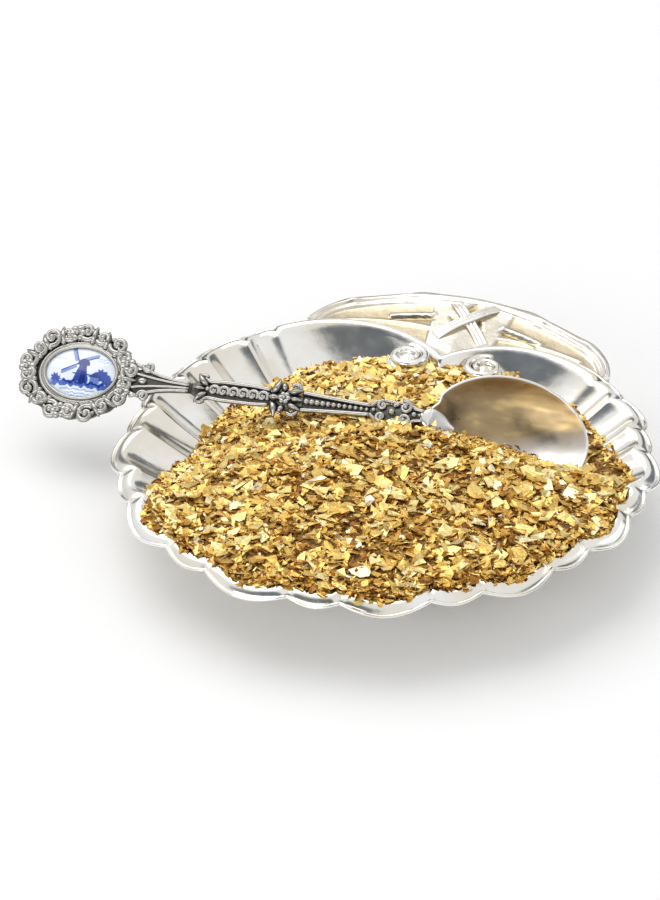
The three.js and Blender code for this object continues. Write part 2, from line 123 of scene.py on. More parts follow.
class Shape:
    """Points in millimetres, faces, and one tone per point that the material reads."""

    def __init__(self):
        self.points = []
        self.faces = []
        self.tones = []

    def loft(self, rings, tones):
        """Skins closed rings of equal count; a ring of one point closes its end. One tone per point."""
        start = len(self.points)
        self.points.extend(tuple(p) for ring in rings for p in ring)
        self.tones.extend(tones)
        for here, following in zip(rings, rings[1:]):
            n, m = len(here), len(following)
            count = max(n, m)
            for i in range(count):
                j = (i + 1) % count
                if n == 1:
                    self.faces.append((start, start + 1 + j, start + 1 + i))
                elif m == 1:
                    self.faces.append((start + i, start + j, start + n))
                else:
                    self.faces.append((start + i, start + j, start + n + j, start + n + i))
            start += n

    def bar(self, sections, tones):
        """A run of cross-sections closed by a fan at each end."""
        first = [tuple(np.mean(sections[0], axis=0))]
        last = [tuple(np.mean(sections[-1], axis=0))]
        self.loft([first, *sections, last], [tones[0], *tones, tones[-1]])

    def tube(self, path, radii, sides=8, low=0.25):
        """A round bar along a path that never runs straight up; its tone rises from foot to crown."""
        path = np.asarray(path, float)
        radii = np.broadcast_to(np.asarray(radii, float), len(path))
        ahead = np.gradient(path, axis=0)
        sections, tones = [], []
        for p, t, r in zip(path, ahead, radii):
            side = np.cross(t, (0, 0, 1))
            side /= np.linalg.norm(side)
            up = np.cross(side, t)
            up /= np.linalg.norm(up)
            ring = []
            for turn in turns(sides):
                ring.append(tuple(p + side * r * cos(turn) + up * r * sin(turn)))
                tones.append(low + (1 - low) * (0.5 + 0.5 * sin(turn)))
            sections.append(ring)
        self.bar(sections, tones)

    def bead(self, centre, radius, sides=8, low=0.3, stretch=(1, 1, 1)):
        """A small round pearl."""
        x, y, z = centre
        across, along, up = (radius * share for share in stretch)
        rings, tones = [[(x, y, z - up)]], [low]
        for j in range(1, 5):
            tilt = pi * j / 5
            rings.append(oval_ring((x, y), across * sin(tilt), along * sin(tilt),
                                   z - up * cos(tilt), sides))
            tones.extend([low + (1 - low) * (0.5 - 0.5 * cos(tilt))] * sides)
        rings.append([(x, y, z + up)])
        self.loft(rings, tones + [1.0])

    def scroll(self, centre, start, turns, outer, inner, thick, thin, hand=1, rise=0.0, steps=22):
        """A flat spiral, thick outside and thin inside, ending in a small pearl."""
        path, radii = [], []
        for i in range(steps + 1):
            along = i / steps
            turn = start + hand * TAU * turns * along
            spread = outer + (inner - outer) * along
            path.append((centre[0] + spread * cos(turn), centre[1] + spread * sin(turn),
                         centre[2] + rise * along))
            radii.append(thick + (thin - thick) * along)
        self.tube(path, radii)
        self.bead((centre[0], centre[1], centre[2] + rise), thin * 1.7)

    def leaf(self, root, heading, length, width, lift=0.5, curl=0.0, thick=0.8):
        """A pointed leaf with a raised middle rib, lying nearly flat."""
        sections, tones = [], []
        for i in range(LEAF_STEPS + 1):
            along = 0.02 + 0.97 * i / LEAF_STEPS
            turn = heading + curl * along
            ahead = np.array([cos(turn), sin(turn), 0.0])
            side = np.array([-sin(turn), cos(turn), 0.0])
            mid = root + ahead * length * along + (0, 0, lift * sin(pi * along * 0.8))
            half = side * (width / 2 * sin(pi * along ** 0.7) ** 0.8 + 0.05)
            crown = thick * sin(pi * min(1, along + 0.15)) ** 0.6 + 0.08
            ring = [mid - half, mid - half * 0.55 + (0, 0, crown * 0.45), mid + (0, 0, crown),
                    mid + half * 0.55 + (0, 0, crown * 0.45), mid + half, mid + (0, 0, -crown * 0.5)]
            sections.append([tuple(p) for p in ring])
            tones.extend([0.25, 0.55, 1.0, 0.55, 0.25, 0.0])
        self.bar(sections, tones)

    def flower(self, centre, radius, petals=5, turn=0.0):
        """A small rosette of round petals about a pearl."""
        for k in range(petals):
            a = turn + TAU * k / petals
            x = centre[0] + radius * 0.58 * cos(a)
            y = centre[1] + radius * 0.58 * sin(a)
            self.bead((x, y, centre[2]), radius * 0.44, low=0.1, stretch=(1, 1, 0.6))
        self.bead((centre[0], centre[1], centre[2] + radius * 0.18), radius * 0.3)

    def make(self, name, material, body, slot, *replaced, matrix=Matrix(), smooth=True):
        """Makes the Blender object, riding on its body in place of the CAD nodes replaced."""
        mesh = bpy.data.meshes.new(name)
        world = np.array(matrix)
        points = np.asarray(self.points) @ world[:3, :3].T + world[:3, 3]
        mesh.from_pydata((points * MM).tolist(), [], self.faces)
        tone = mesh.attributes.new("tone", "FLOAT", "POINT")
        tone.data.foreach_set("value", np.asarray(self.tones, np.float32))
        mesh.materials.append(material)
        if smooth:
            mesh.shade_smooth()
        else:
            mesh.shade_flat()
        obj = add_object(name, mesh)
        face_outward(mesh)
        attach(obj, body)
        if replaced:
            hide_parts(*replaced)


def turns(count):
    """Equal steps once round, in radians."""
    return [TAU * k / count for k in range(count)]


def oval_ring(centre, half_length, half_width, height, count):
    """Points round a level oval about an (x, y) centre."""
    return [(centre[0] + half_length * cos(turn), centre[1] + half_width * sin(turn), height)
            for turn in turns(count)]


def add_object(name, data):
    obj = bpy.data.objects.new(name, data)
    bpy.context.scene.collection.objects.link(obj)
    return obj


def face_outward(mesh):
    """Makes every closed shell's faces agree and point out."""
    work = bmesh.new()
    work.from_mesh(mesh)
    bmesh.ops.recalc_face_normals(work, faces=work.faces)
    work.to_mesh(mesh)
    work.free()


# ---- materials

class Look:
    """A node tree that ends in one shader, and the few kinds of node that the looks are built from."""

    def __init__(self, tree, shader):
        self.tree = tree
        self.shader = shader

    def node(self, kind, **settings):
        made = self.tree.nodes.new("ShaderNode" + kind)
        for key, value in settings.items():
            setattr(made, key, value)
        return made

    def feed(self, source, name):
        self.tree.links.new(source, self.shader.inputs[name])

    def ramp(self, source, *stops):
        """Colours, or plain greys, by the source's value."""
        made = self.node("ValToRGB")
        elements = made.color_ramp.elements
        while len(elements) < len(stops):
            elements.new(0.5)
        for element, (position, colour) in zip(elements, stops):
            element.position = position
            element.color = (*colour, 1) if isinstance(colour, tuple) else (colour, colour, colour, 1)
        self.tree.links.new(source, made.inputs["Fac"])
        return made.outputs["Color"]

    def noise(self, scale, detail, stretch=(1, 1, 1)):
        """Noise in the object's own metres."""
        place = self.node("TexCoord")
        mapping = self.node("Mapping")
        mapping.inputs["Scale"].default_value = stretch
        made = self.node("TexNoise")
        made.inputs["Scale"].default_value = scale
        made.inputs["Detail"].default_value = detail
        self.tree.links.new(place.outputs["Object"], mapping.inputs["Vector"])
        self.tree.links.new(mapping.outputs["Vector"], made.inputs["Vector"])
        return made.outputs["Fac"]

    def tone(self):
        return self.node("Attribute", attribute_name="tone").outputs["Fac"]

    def grained_tone(self, grain):
        """The tone made uneven by a grain."""
        made = self.node("Math", operation="MULTIPLY_ADD")
        made.inputs[1].default_value = 0.35
        self.tree.links.new(grain, made.inputs[0])
        self.tree.links.new(self.tone(), made.inputs[2])
        return made.outputs[0]

    def mix(self, factor, a, b, mode="MIX"):
        made = self.node("Mix", data_type="RGBA", blend_type=mode)
        for key, value in (("Factor", factor), ("A", a), ("B", b)):
            socket = [s for s in made.inputs if s.name == key and s.enabled][0]
            if isinstance(value, bpy.types.NodeSocket):
                self.tree.links.new(value, socket)
            else:
                socket.default_value = value if key == "Factor" else (*value, 1)
        return [s for s in made.outputs if s.enabled][0]

    def rough(self, scale, detail, low, high):
        """Roughness that wanders between low and high."""
        self.feed(self.ramp(self.noise(scale, detail), (0.3, low), (0.7, high)), "Roughness")

    def bump(self, height, strength, distance):
        made = self.node("Bump")
        made.inputs["Strength"].default_value = strength
        made.inputs["Distance"].default_value = distance
        self.tree.links.new(height, made.inputs["Height"])
        self.feed(made.outputs["Normal"], "Normal")


def new_look(name, metallic):
    material = bpy.data.materials.new(name)
    material.use_nodes = True
    look = Look(material.node_tree, material.node_tree.nodes["Principled BSDF"])
    look.shader.inputs["Metallic"].default_value = metallic
    return material, look


def silver_material(name, bright, recess, low, high, bump_scale, bump_strength):
    """Plated silver: bright on the crests, warm and dull in the recesses and in random patches, with fine
    handling marks.
    """
    material, look = new_look(name, 1.0)
    patches = look.ramp(look.noise(70, 5), (0.42, recess), (0.62, bright))
    crest_share = look.ramp(look.tone(), (0.0, 0), (0.55, 1))
    look.feed(look.mix(crest_share, recess, look.mix(0.38, bright, patches)), "Base Color")
    look.rough(240, 6, low, high)
    look.bump(look.noise(bump_scale, 5), bump_strength, 0.0004)
    return material


def old_silver_material():
    """Cast silver: black in the recesses, which is patina and painted shade, and rubbed bright on the crests.
    """
    material, look = new_look("cast_silver", 1.0)
    grain = look.noise(1400, 3)
    grained_tone = look.grained_tone(grain)
    # Low tones are black patina and painted shade; high tones are rubbed bright.
    look.feed(look.ramp(grained_tone, (0.15, (0.03, 0.029, 0.026)), (0.45, (0.12, 0.117, 0.106)),
                        (0.82, (0.26, 0.255, 0.235)), (1.0, (0.47, 0.46, 0.43))), "Base Color")
    look.feed(look.ramp(grained_tone, (0.2, 0.55), (0.9, 0.26)), "Roughness")
    look.bump(grain, 0.25, 0.0001)
    return material


def gold_material():
    """Thin gold-coloured flakes, each with its own shade from bronze to pale gold; the near-white top of the
    ramp is a painted glint.
    """
    material, look = new_look("gold_flake", 0.9)
    colour = look.ramp(look.tone(), (0.0, (0.18, 0.06, 0.014)), (0.2, (0.42, 0.20, 0.04)),
                       (0.45, (0.76, 0.47, 0.11)), (0.72, (0.93, 0.68, 0.21)),
                       (0.93, (1.0, 0.86, 0.42)), (1.0, (1.0, 0.97, 0.82)))
    stain = look.ramp(look.noise(900, 3), (0.3, (0.55, 0.45, 0.38)), (0.55, 1))
    look.feed(look.mix(0.6, colour, stain, "MULTIPLY"), "Base Color")
    look.rough(1500, 2, 0.24, 0.5)
    look.bump(look.noise(2200, 3), 0.5, 0.0002)
    return material


def bed_material():
    """The shaded flakes deep in the heap, seen only between those on top."""
    material, look = new_look("flake_bed", 0.6)
    look.feed(look.ramp(look.noise(1100, 4), (0.35, (0.10, 0.045, 0.014)), (0.55, (0.34, 0.19, 0.05)),
                        (0.75, (0.60, 0.38, 0.12))), "Base Color")
    look.shader.inputs["Roughness"].default_value = 0.6
    look.bump(look.noise(900, 4), 1.0, 0.0008)
    return material


def bowl_material():
    """Silver with streaks of painted reflection of the gold flakes, giving way to plain silver where the tone
    is high.
    """
    material, look = new_look("silver_with_painted_flake_reflection", 1.0)
    # The gold-brown streaks are a painted reflection of the flakes.
    streaks = look.ramp(look.noise(120, 3, (0.25, 1, 1)), (0.42, (0.30, 0.215, 0.12)),
                        (0.58, (0.42, 0.31, 0.17)), (0.68, (0.85, 0.62, 0.30)))
    plain_silver = look.ramp(look.grained_tone(look.noise(160, 4)), (0.4, 0), (0.9, 1))
    look.feed(look.mix(plain_silver, streaks, (0.80, 0.79, 0.77)), "Base Color")
    look.rough(300, 5, 0.25, 0.38)
    look.bump(look.noise(700, 4), 0.06, 0.0003)
    return material


def porcelain_material():
    """White glaze with cobalt painting; the tone is how much blue lies at each point."""
    material, look = new_look("painted_porcelain", 0.0)
    colour = look.ramp(look.tone(), (0.0, (0.80, 0.85, 0.93)), (0.3, (0.42, 0.55, 0.85)),
                       (0.65, (0.045, 0.11, 0.47)), (1.0, (0.008, 0.02, 0.18)))
    clouding = look.ramp(look.noise(500, 3), (0.3, (0.93, 0.95, 0.98)), (0.7, 1))
    look.feed(look.mix(1.0, colour, clouding, "MULTIPLY"), "Base Color")
    for name, value in (("Roughness", 0.12), ("Coat Weight", 0.6), ("Coat Roughness", 0.04)):
        look.shader.inputs[name].default_value = value
    return material


def floor_material():
    material, look = new_look("pale_floor", 0.0)
    look.feed(look.ramp(look.noise(3, 2), (0.3, 0.90), (0.7, 0.93)), "Base Color")
    look.shader.inputs["Roughness"].default_value = 0.7
    return material


DISH_SILVER = silver_material("dish_silver", (0.94, 0.93, 0.90), (0.70, 0.62, 0.44), 0.10, 0.22, 260, 0.12)
HANDLE_SILVER = silver_material("handle_silver", (0.93, 0.91, 0.86), (0.40, 0.31, 0.16), 0.16, 0.34, 400, 0.2)
BOWL_SILVER = bowl_material()
OLD_SILVER = old_silver_material()
GOLD = gold_material()
BED = bed_material()


# ---- the dish

def flute_edges():
    edges = [LOBE_ANGLE]
    for i in range(5):
        edges.append(edges[-1] + SMALL_WIDTH + SMALL_GROWTH * i)
        edges.append(edges[-1] + BIG_WIDTH + BIG_GROWTH * i)
    return edges + [360 - edges[-1]]


EDGES = flute_edges()


def place_at(angle):
    """(share of a lobe from the notch, swell across a flute from 0 to 1, that flute's bulge)."""
    side = abs(angle)
    if side < LOBE_ANGLE:
        lobe_width = LOBE_ANGLE - copysign(NOTCH_ANGLE, angle - NOTCH_ANGLE)
        return abs(angle - NOTCH_ANGLE) / lobe_width, 0.0, 0.0
    i = 0
    while i + 2 < len(EDGES) and side > EDGES[i + 1]:
        i += 1
    across = (side - EDGES[i]) / (EDGES[i + 1] - EDGES[i])
    return 1.0, max(0.0, sin(pi * min(across, 1))), BIG_BULGE if i % 2 else SMALL_BULGE


def lip_radius(angle):
    lobe, swell, bulge = place_at(angle)
    inset = (RIM_RADIUS - NOTCH_RADIUS) * (1 - lobe) ** LOBE_POWER
    skew = FRONT_SKEW * sin(radians(2 * angle)) if abs(angle) > 90 else 0
    return RIM_RADIUS - inset + skew + bulge * swell ** 0.8


def crest_height(angle):
    return RIM_HEIGHT + LOBE_RISE * max(0.0, sin(pi * place_at(angle)[0])) ** 0.8


def radius_at(angle, climb):
    return FLOOR_RADIUS + (lip_radius(angle) - LIP_WIDTH - FLOOR_RADIUS) * climb


def wall_height(angle, climb, sharp=2.0):
    """Height of the dish's upper face; a lower sharp gives narrower ridges between the flutes."""
    if climb <= 0:
        return SHEET
    _, swell, bulge = place_at(angle)
    depth = FLUTE_DEPTH * (bulge / BIG_BULGE) ** 0.5 * swell ** sharp * climb ** 0.6
    return SHEET + (crest_height(angle) - SHEET) * climb ** WALL_POWER - depth


def polar(angle, radius, height):
    turn = radians(angle)
    return radius * sin(turn), radius * cos(turn), height


def fine_spokes():
    half = [EDGES[0]]
    for i in range(len(EDGES) - 2):
        count = 22 if i % 2 else 13
        half += [EDGES[i] + (EDGES[i + 1] - EDGES[i]) * (k + 1) / count for k in range(count)]
    half += [EDGES[-2] + (180 - EDGES[-2]) * (k + 1) / 7 for k in range(6)]
    left = [-LOBE_ANGLE + (NOTCH_ANGLE + LOBE_ANGLE) * k / 56 for k in range(1, 57)]
    right = [NOTCH_ANGLE + (LOBE_ANGLE - NOTCH_ANGLE) * k / 50 for k in range(1, 50)]
    return [-a for a in reversed(half)] + left + right + half + [180]


SPOKES = fine_spokes()


def make_shell():
    """The dish's sheet: fluted wall, pillowed lip, rounded edge and plain underside."""
    shape = Shape()
    rings, tones = [[(0, 0, SHEET)]], [1.0]

    def ring(place):
        row = [place(a) for a in SPOKES]
        rings.append([polar(a, r, z) for a, (r, z, _) in zip(SPOKES, row)])
        tones.extend(t for _, _, t in row)

    ring(lambda a: (FLOOR_RADIUS * 0.6, SHEET, 1.0))
    for k in range(26):
        climb = k / 25

        def wall(a):
            lobe, swell, _ = place_at(a)
            shade = 0.45 + 0.55 * swell if lobe == 1 else 1.0
            return radius_at(a, climb), wall_height(a, climb, RIDGE_SHARPNESS), shade
        ring(wall)
    for k in range(1, 11):
        out = k / 10

        def lip(a):
            lobe, swell, _ = place_at(a)
            round_over = sin(pi * out) ** 0.8
            dent = LIP_DENT * (1 - swell ** 0.45) * round_over if lobe == 1 else 0.0
            z = wall_height(a, 1, RIDGE_SHARPNESS) - LIP_DROP * out ** 2.2 + LIP_PUFF * round_over - dent
            return lip_radius(a) - LIP_WIDTH * (1 - out), z, 1 - 0.8 * dent / LIP_DENT
        ring(lip)
    for drop, inset in ((0.3, -0.12), (0.7, -0.1), (1.0, 0.25), (0.1, 1.6)):
        ring(lambda a: (lip_radius(a) - inset, wall_height(a, 1, RIDGE_SHARPNESS) - LIP_DROP - drop, 0.8))
    for k in range(11):
        climb = 1 - k / 11
        ring(lambda a: (radius_at(a, climb), wall_height(a, climb, RIDGE_SHARPNESS) - SHEET * 0.95, 0.8))
    ring(lambda a: (FLOOR_RADIUS, 0.0, 0.8))
    rings.append([(0, 0, 0)])
    shape.loft(rings, tones + [0.8])
    shape.make("shell_dish", DISH_SILVER, "dish", "silver_plate", "shell_bowl")


def make_rim_bead():
    """The wire that finishes the edge, from beside the notch right round to its other side."""
    shape = Shape()
    order = sorted(((a - NOTCH_ANGLE) % 360, a) for a in SPOKES)
    run = [a for turn, a in order if 9 < turn < 351]
    drop = LIP_DROP + 0.25
    points = [polar(a, lip_radius(a) + 0.3, wall_height(a, 1, RIDGE_SHARPNESS) - drop) for a in run]
    taper = [0.5 * min(1, 0.3 + 0.1 * min(i, len(run) - 1 - i)) for i in range(len(run))]
    shape.tube(points, taper, low=0.5)
    shape.make("rim_bead", DISH_SILVER, "dish", "silver_plate", "rim_wire")


def make_volute(side, name, replaced):
    """The lobe's lip rolled up into a snail beside the notch, about a low polished boss."""
    shape = Shape()
    x, y, z = 4.2 + side * 10, 38.8, 21.4
    path, radii = [], []
    for i in range(73):
        along = i / 72
        turn = radians(80) + TAU * 1.4 * along
        spread = 4.9 - 3.0 * along
        path.append((x + side * spread * cos(turn), y + spread * sin(turn), z - 0.3 + 0.5 * along))
        radii.append(1.25 - 0.5 * along)
    shape.tube(path, radii, sides=14, low=0.5)
    rings, tones = [[(x, y, z + 0.5)]], [1.0]
    for spread, height in ((0.8, 0.35), (1.4, -0.1), (2.2, -0.5), (4.2, -0.8), (5.2, -1.4), (5.5, -3.2),
                           (5.5, -5.5)):
        rings.append(oval_ring((x, y), spread, spread, z + height, 40))
        tones.extend([0.45 if 2 < spread < 5 else 1.0] * 40)
    rings.append([(x, y, z - 5.5)])
    shape.loft(rings, tones + [1.0])
    shape.make(name, DISH_SILVER, "dish", "silver_plate", replaced)


# ---- the handle

def from_handle(angle):
    return abs(angle - HANDLE_TURN)


def handle_radius(angle):
    fall = max(0, from_handle(angle) - HANDLE_SHOULDER) / (HANDLE_END - HANDLE_SHOULDER)
    return HANDLE_RADIUS - HANDLE_FALL * fall ** 2


def handle_inner(angle):
    return lip_radius(angle) + 0.5


def handle_height(angle, radius):
    arch = cos(radians(from_handle(angle) * 85 / HANDLE_END)) ** 1.5
    across = (radius - handle_inner(angle)) / (handle_radius(angle) - handle_inner(angle))
    return HANDLE_INNER_HEIGHT + (HANDLE_END_HEIGHT + HANDLE_RISE * arch - HANDLE_INNER_HEIGHT) * across


def hump(value, middle, width):
    return exp(-((value - middle) / width) ** 2)


def handle_relief(angle, radius):
    """(height above the plate, tone) of the cast relief: double border, shoulders and sunk field."""
    away = angle - HANDLE_TURN
    outer = handle_radius(angle)
    inner = handle_inner(angle)
    edge = outer - radius
    shoulder = sum(hump(abs(away), at, 1.6) for at in (15, 27)) * hump(edge, 1.6, 1.4) * 0.5
    border = 1.0 * hump(edge, 1.3, 0.75) + 0.6 * hump(edge, 3.2, 0.5) + shoulder
    reed = 0.0
    if 8 < abs(away) < 19:
        reed = 0.7 * hump(radius - 63.2, 0, 0.5) - 0.5 * hump(radius - 62.0, 0, 0.5)
    foot = 0.6 * hump(radius - inner, 1.4, 0.6)
    field = 0.0 if abs(away) < 9 else -0.35 * (1 - hump(edge, 0, 4.2)) * (1 - hump(radius - inner, 0, 2.4))
    arch = 0.5 * hump(radius - inner - 0.42 * (outer - inner), 0, 0.5) if 9 < abs(away) < 30 else 0
    sunk = 0.0
    if 2.6 < edge < 5.6 and abs(away) < (edge - 2.2) * 1.15:
        sunk = 1.0
    for middle in (-3.0, 2.6):
        if abs(away - middle + 0.5 * (radius - 61.5)) < 1.0 and abs(radius - 61.5) < 1.9:
            sunk = 1.0
    height = (border + reed + foot + field + arch) * (1 - sunk) - 0.55 * sunk
    # The tone falls in the low places of the relief, which take the darker recess colour.
    return height, min(1.0, max(0.0, 0.38 + 0.7 * height))


def make_handle():
    """The crescent casting behind the two lobes, with its border, reeds and sunk fields."""
    shape = Shape()
    sections, tones = [], []
    count = 44
    steps = 190
    for i in range(steps + 1):
        angle = HANDLE_TURN - HANDLE_END + 2 * HANDLE_END * i / steps
        inner, outer = handle_inner(angle), handle_radius(angle)
        edge = outer + 0.6 * (hump(from_handle(angle), 12, 3) + hump(from_handle(angle), 27, 3))
        section = []
        for k in range(count + 1):
            share = k / count
            radius = inner + (edge - inner) * share
            rise, shade = handle_relief(angle, radius)
            rim = min(1.0, 6 * min(share, 1 - share) + 0.1) ** 0.5
            section.append(polar(angle, radius, handle_height(angle, radius) + rise * rim))
            tones.append(shade)
        section.append(polar(angle, edge - 0.1, handle_height(angle, outer) - HANDLE_THICK))
        section.append(polar(angle, inner, handle_height(angle, inner) - HANDLE_THICK))
        tones.extend([0.6, 0.6])
        sections.append(section)
    shape.bar(sections, tones)
    shape.make("handle_casting", HANDLE_SILVER, "dish", "silver_plate", "handle_plate", "handle_border_left",
               "handle_border_right", "handle_reed_left", "handle_reed_right")


def make_ribbon(side, name, replaced):
    """A ribbon with three raised cords that crosses the handle's middle."""
    shape = Shape()
    sections, tones = [], []
    across = np.array([14.5, -side * 13])
    across = across / np.linalg.norm(across) * RIBBON_HALF_WIDTH
    turn = radians(HANDLE_TURN)
    bridge = 0.55 if side > 0 else 0.0
    for i in range(41):
        along = i / 40
        centre = np.array([side * 6.5 * (2 * along - 1), 54.5 + 15.2 * along])
        fade = min(1.0, 4 * min(along, 1 - along) + 0.1)
        lift = bridge * max(0.0, sin(pi * along)) ** 0.5
        section = []
        for k in range(17):
            share = -1 + k / 8
            flat = centre + across * share
            x = flat[0] * cos(turn) + flat[1] * sin(turn)
            y = -flat[0] * sin(turn) + flat[1] * cos(turn)
            cord = abs(cos(1.5 * pi * share)) ** 0.7
            angle = degrees(atan2(x, y))
            z = handle_height(angle, hypot(x, y)) + lift + fade * (0.25 + 0.5 * cord)
            section.append((x, y, z))
            tones.append(0.1 + 0.9 * cord)
        section += [(x, y, z - RIBBON_DEPTH) for x, y, z in (section[-1], section[0])]
        tones.extend([0.4, 0.4])
        sections.append(section)
    shape.bar(sections, tones)
    shape.make(name, HANDLE_SILVER, "dish", "silver_plate", replaced)


# ---- the flakes

def heap_reach(angle):
    i = 0
    while i + 2 < len(HEAP_REACH) and angle > HEAP_REACH[i + 1][0]:
        i += 1
    (start, low), (end, high) = HEAP_REACH[i], HEAP_REACH[i + 1]
    share = min(1, max(0, (angle - start) / (end - start)))
    return low + (high - low) * share * share * (3 - 2 * share)


def heap_height(x, y):
    """(height of the heap's surface, how far outside the heap's edge the point is)."""
    angle = degrees(atan2(x, y))
    radius = hypot(x, y)
    reach = heap_reach(angle)
    edge = radius_at(angle, reach)
    climb = (radius - FLOOR_RADIUS) / (lip_radius(angle) - LIP_WIDTH - FLOOR_RADIUS)
    low = wall_height(angle, reach) + HEAP_BED + HEAP_EDGE
    pile = low + (HEAP_PEAK - low) * (1 - min(1, radius / edge) ** HEAP_POWER)
    hx, hy, depth, spread = HOLLOW
    hollow = depth * exp(-((x - hx) ** 2 + (y - hy) ** 2) / (2 * spread ** 2))
    if radius <= edge:
        return max(pile - hollow, wall_height(angle, climb) + HEAP_BED + HEAP_EDGE), radius - edge
    beyond = min(1.0, max(0.0, radius - radius_at(angle, 1)) / LIP_WIDTH)
    return wall_height(angle, min(climb, 1)) - LIP_DROP * beyond ** 2.2 + 0.55, radius - edge


def add_flake(shape, rng, centre, size, tilt, shade, ground=Matrix.Identity(3)):
    """One thin irregular shard: a bent polygon with a little thickness, lying on the ground given."""
    corners = rng.choice((3, 4, 4, 5, 5, 6))
    stretch = rng.uniform(0.32, 0.85)
    turn = rng.uniform(0, TAU)
    lean = rng.uniform(0, TAU)
    axis = Vector((cos(lean), sin(lean), 0))
    pose = ground @ Matrix.Rotation(tilt, 3, axis) @ Matrix.Rotation(turn, 3, "Z")
    bend = rng.uniform(-0.25, 0.25)
    upper, lower = [], []
    for k in range(corners):
        a = TAU * (k + rng.uniform(-0.32, 0.32)) / corners
        reach = size * rng.uniform(0.65, 1.1)
        x, y = reach * cos(a), reach * stretch * sin(a)
        z = bend * x * x / size
        upper.append(centre + pose @ Vector((x, y, z + HALF_FLAKE)))
        lower.append(centre + pose @ Vector((x, y, z - HALF_FLAKE)))
    top = centre + pose @ Vector((0, 0, HALF_FLAKE * 1.2 + rng.uniform(-0.08, 0.08)))
    foot = centre + pose @ Vector((0, 0, -HALF_FLAKE))
    shape.loft([[tuple(top)], upper, lower, [tuple(foot)]], [shade] * (2 * corners + 2))


def pick_shade(rng):
    """Mostly mid gold, some brown, and a few nearly white ones that are painted glints."""
    roll = rng.random()
    # The nearly white shades are painted glints.
    if roll < 0.03:
        return rng.uniform(0.95, 1.0)
    if roll < 0.24:
        return rng.uniform(0.02, 0.22)
    return min(0.92, max(0.15, rng.gauss(0.55, 0.17)))


def cad_tree(*names):
    """Those CAD solids as one tree that rays can be cast at, in metres."""
    points, faces = [], []
    for name in names:
        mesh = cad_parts[name].data
        base = len(points)
        points.extend(v.co.copy() for v in mesh.vertices)
        faces.extend(tuple(base + i for i in p.vertices) for p in mesh.polygons)
    return BVHTree.FromPolygons(points, faces)


def height_hit(tree, x, y, start, direction):
    """Height in millimetres where a ray straight up (1) or down (-1) from the start meets the tree."""
    hit, _, _, _ = tree.ray_cast(Vector((x, y, start)) * MM, Vector((0, 0, direction)))
    return None if hit is None else hit.z / MM


def clear_of(tree, point):
    """Distance in millimetres from a point to the tree's surface."""
    return tree.find_nearest(point * MM)[3] / MM


def lay_flakes(shape, rng, name, tries, wanted):
    """Lays small flakes flat on a CAD solid's sides and top, at the random places that are wanted."""
    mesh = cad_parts[name].data
    faces = list(mesh.polygons)
    for face in rng.choices(faces, [face.area for face in faces], k=tries):
        a, b, c = (mesh.vertices[i].co for i in face.vertices[:3])
        u, v = sorted((rng.random(), rng.random()))
        point = a * u + b * (v - u) + c * (1 - v)
        if face.normal.z > -0.1 and wanted(point):
            centre = point / MM + face.normal * 0.1
            size, tilt = rng.uniform(0.7, 1.5), rng.uniform(0, 0.15)
            ground = face.normal.to_track_quat("Z", "Y").to_matrix()
            add_flake(shape, rng, centre, size, tilt, pick_shade(rng), ground)


def spoonful_height(x, y):
    return NECK[2] - FILL_DROP - FILL_SLOPE_X * (x - NECK[0]) - FILL_SLOPE_Y * (y - NECK[1])


def lay_heap(pieces, rng, spoon):
    """Flakes all over the heap, which lie flat and low wherever the spoon is above them."""
    placed = 0
    while placed < HEAP_FLAKES:
        x, y = rng.uniform(*HEAP_X), rng.uniform(*HEAP_Y)
        z, outside = heap_height(x, y)
        stray = 0.7 + 0.5 * sin(x * 0.9 + y * 0.31) + 0.4 * sin(x * 0.23 - y * 1.1)
        stray += 1.1 if y < 8 - 0.9 * abs(x - 8) else 0.0
        if outside > stray or (outside > 0 and rng.random() < outside / 5):
            continue
        size = min(2.9, 0.75 + rng.expovariate(1 / 0.6)) * (0.75 if outside > 0 else 1.0)
        tilt = abs(rng.gauss(0, 0.42))
        lift = rng.uniform(-0.55, 0.75) if outside < -1 else rng.uniform(0.0, 0.5)
        underside = height_hit(spoon, x, y, BELOW, 1)
        if underside is not None:
            ceiling = underside - 0.8
            if z + lift + size * sin(tilt) > ceiling:
                z, lift, tilt, size = min(z, ceiling - 0.5), -0.1, tilt * 0.25, min(size, 1.2)
            if clear_of(spoon, Vector((x, y, z + lift))) < size:
                continue
        elif outside < -2 and rng.random() < 0.035:
            size, tilt, lift = rng.uniform(2.2, 3.4), tilt * 0.7, 0.7
        # Flakes sunk in among the others are darkened by a fifth: painted shade.
        shade = pick_shade(rng) * (0.8 if lift < -0.2 else 1.0)
        if size > 2.2:
            shade = max(shade, rng.uniform(0.5, 0.97))
        add_flake(pieces[placed % len(pieces)], rng, Vector((x, y, z + lift)), size, tilt, shade)
        placed += 1


def lay_edge(pieces, rng, spoon):
    """A band of flakes along the foot of the heap, so that its edge is ragged all round."""
    placed = 0
    for _ in range(EDGE_FLAKES):
        angle = rng.uniform(-180, 180)
        x, y, _ = polar(angle, radius_at(angle, heap_reach(angle)) + rng.uniform(-0.9, 0.5), 0)
        underside = height_hit(spoon, x, y, BELOW, 1)
        z, _ = heap_height(x, y)
        if underside is None or underside > z + 2:
            z -= rng.uniform(-0.2, 0.7)
            size, tilt = rng.uniform(0.6, 1.6), rng.uniform(0.1, 0.7)
            add_flake(pieces[placed % len(pieces)], rng, Vector((x, y, z)), size, tilt, pick_shade(rng))
            placed += 1


